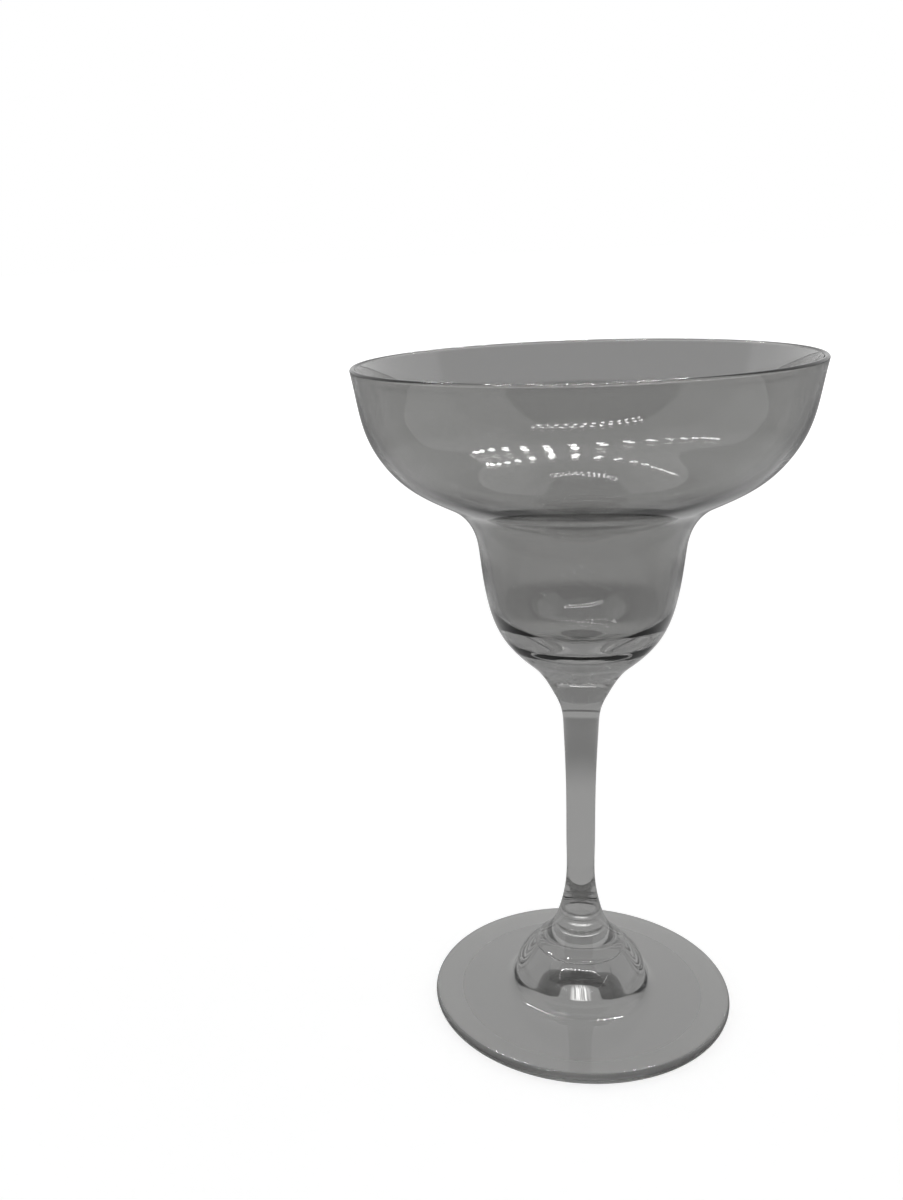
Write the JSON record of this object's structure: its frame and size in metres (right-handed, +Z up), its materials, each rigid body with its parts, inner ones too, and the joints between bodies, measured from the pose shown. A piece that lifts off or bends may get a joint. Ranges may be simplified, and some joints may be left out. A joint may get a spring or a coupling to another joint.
{
  "type": "margarita glass",
  "caption": "Clear glass margarita glass: a wide saucer stepping down into a narrow well, on a slim drawn stem and a round foot with a domed centre.",
  "frame": {"origin": "centre of the foot's resting ring, on the surface that the glass stands on", "axes": "+Z up along the axis that all three pieces are turned about; X and Y are alike"},
  "size_m": [0.11, 0.11, 0.172],
  "materials": {
    "clear_glass": null
  },
  "bodies": {
    "root": {"bowl": "clear_glass", "stem": "clear_glass", "foot": "clear_glass"}
  },
  "joints": []
}
